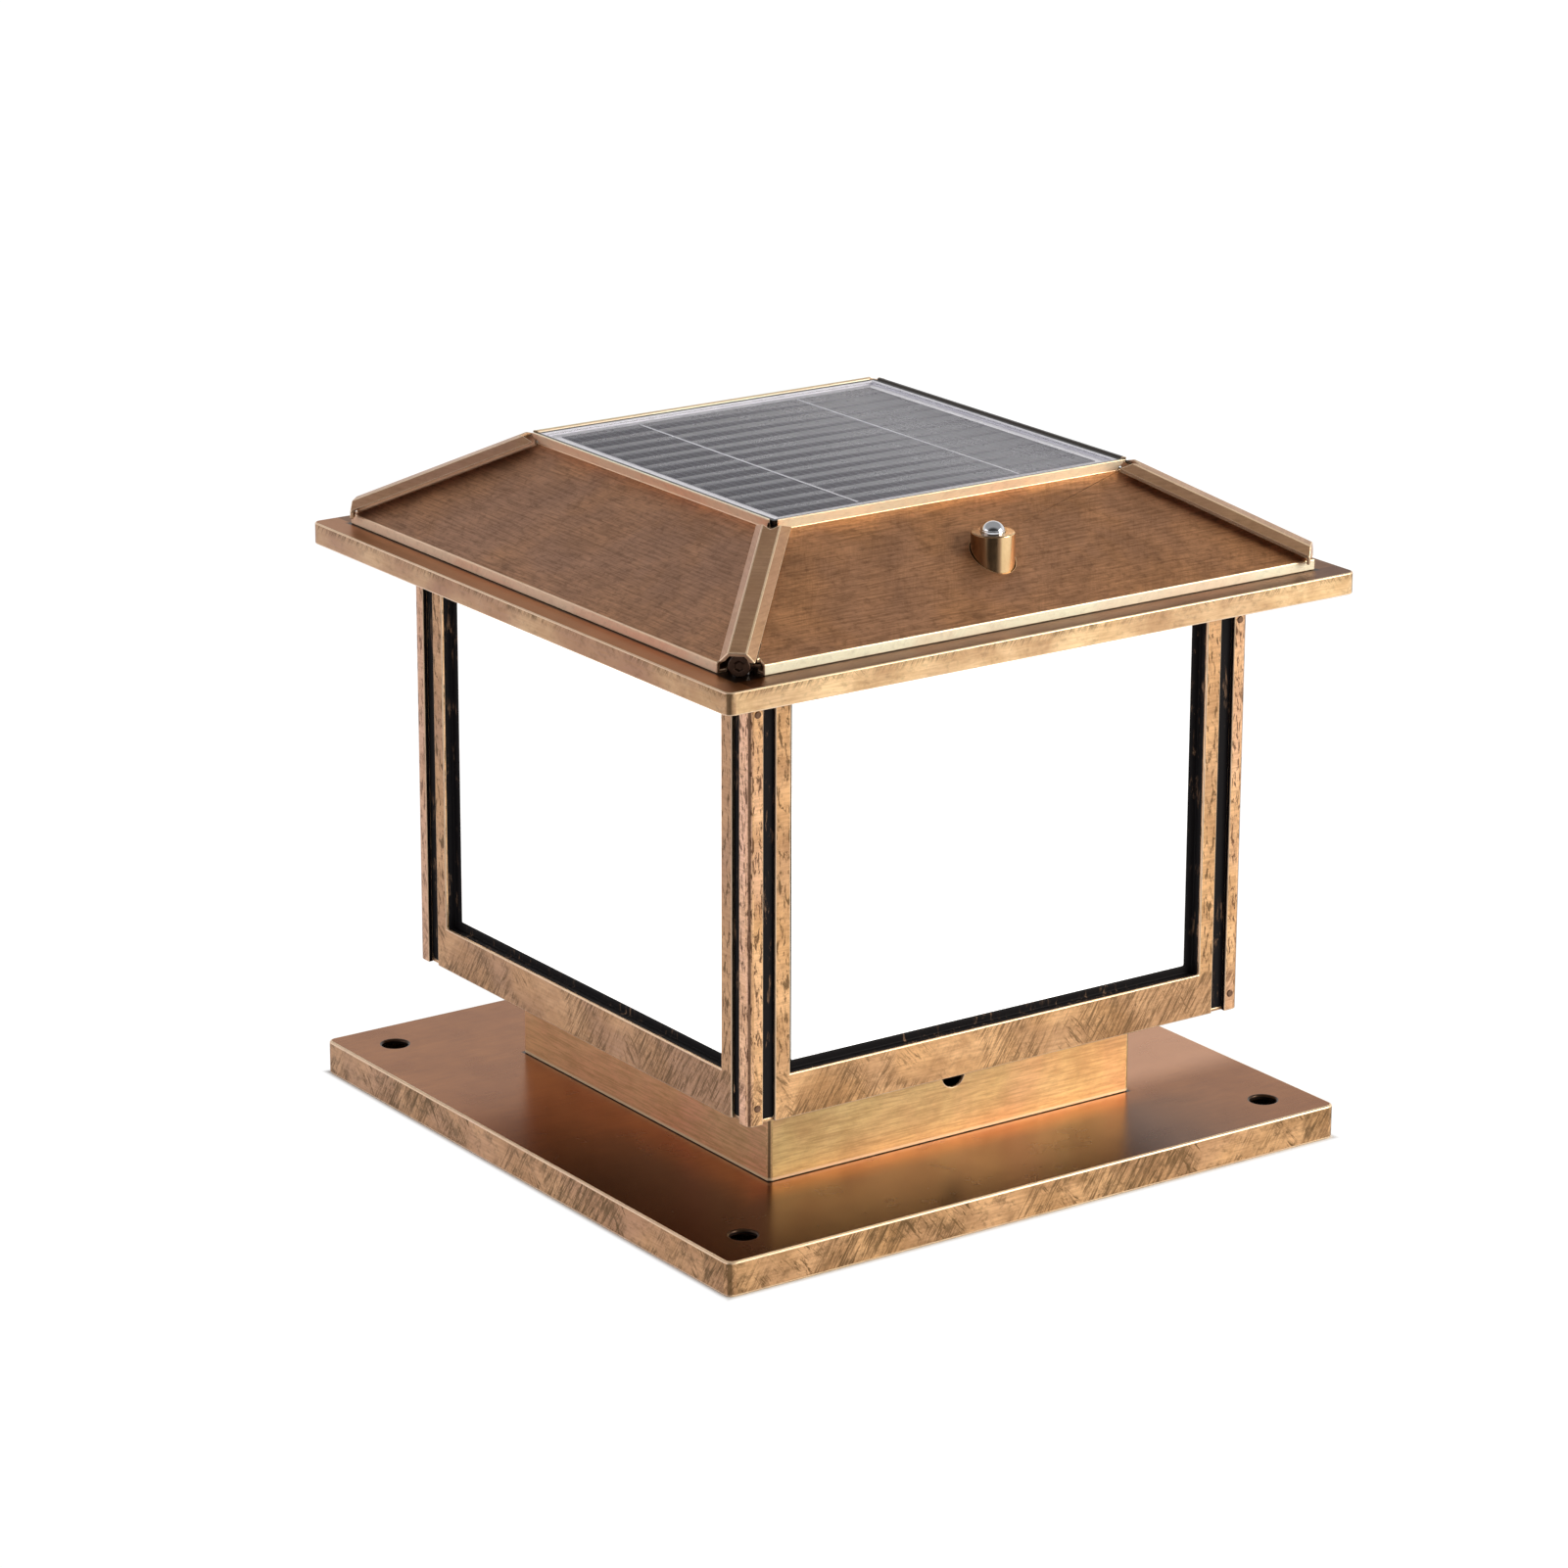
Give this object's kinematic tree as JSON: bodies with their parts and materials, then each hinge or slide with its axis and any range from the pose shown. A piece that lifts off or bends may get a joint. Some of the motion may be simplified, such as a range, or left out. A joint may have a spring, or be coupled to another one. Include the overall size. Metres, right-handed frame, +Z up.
{
  "type": "solar pillar light",
  "caption": "Square lantern with opal windows on a bolt-down base and neck, under an overhanging hip roof with a flat solar panel and a push button",
  "frame": {"origin": "centre of the base plate's underside, on the face that rests on the pier", "axes": "+Z up; the side with the push button and the vent hole faces -Y; +X to the right seen from that side"},
  "size_m": [0.2512, 0.2512, 0.2346],
  "materials": {
    "bronze": "brushed antique bronze, semi-gloss",
    "brown_bronze": "brushed dark bronze, semi-gloss",
    "light_bronze": "brushed light bronze, semi-gloss",
    "dark_rivet": "dark bronze",
    "black_rubber": "matte",
    "opal": "opal white",
    "black_metal": "matte black",
    "steel": "plain steel",
    "white_board": "white",
    "solar_cell": "grey violet silicon",
    "clear_cover": "clear",
    "brass": "polished",
    "chrome": "polished",
    "black_plastic": "black",
    "battery_wrap": "blue film",
    "green_board": "green lacquer",
    "diode": "yellow resin",
    "cable": "red insulation"
  },
  "bodies": {
    "lamp": {"base_plate": "bronze", "neck": "bronze", "neck_fasteners": "steel", "floor_tray": "bronze", "floor_fasteners": "steel", "frame_front": "bronze", "frame_right": "bronze", "frame_back": "bronze", "frame_left": "bronze", "gasket_front": "black_rubber", "gasket_right": "black_rubber", "gasket_back": "black_rubber", "gasket_left": "black_rubber", "panel_front": "opal", "panel_right": "opal", "panel_back": "opal", "panel_left": "opal", "post_front_left": "bronze", "post_front_right": "bronze", "post_back_right": "bronze", "post_back_left": "bronze", "corner_bar_front_left": "black_metal", "corner_bar_front_right": "black_metal", "corner_bar_back_right": "black_metal", "corner_bar_back_left": "black_metal", "post_rivets": "dark_rivet", "bar_screws": "steel", "panel_clips": "steel", "eave_tray": "bronze", "slope_front": "brown_bronze", "slope_right": "brown_bronze", "slope_back": "brown_bronze", "slope_left": "brown_bronze", "hip_rib_front_left": "light_bronze", "hip_rib_front_right": "light_bronze", "hip_rib_back_right": "light_bronze", "hip_rib_back_left": "light_bronze", "hip_blocks": "steel", "rib_screws": "steel", "roof_screws": "steel", "top_deck": "bronze", "solar_backboard": "white_board", "solar_cells": "solar_cell", "solar_cover": "clear_cover", "panel_seal": "black_rubber", "switch_tube": "brass", "switch_spring": "steel", "switch_body": "black_plastic", "battery_holder": "black_plastic", "battery_cells": "battery_wrap", "control_board": "green_board", "board_screws": "steel", "lamp_board": "white_board", "lamp_diodes": "diode", "solar_cable": "cable", "battery_cable": "cable", "lamp_cable": "cable", "switch_cable": "cable"},
    "button": {"switch_button": "chrome"}
  },
  "joints": [
    {"name": "button_press", "type": "slide", "parent": "lamp", "child": "button", "axis": [0, 0, -1], "range_m": [0, 0.002], "stiffness_N_per_m": 600, "deforming": ["switch_spring"]}
  ]
}
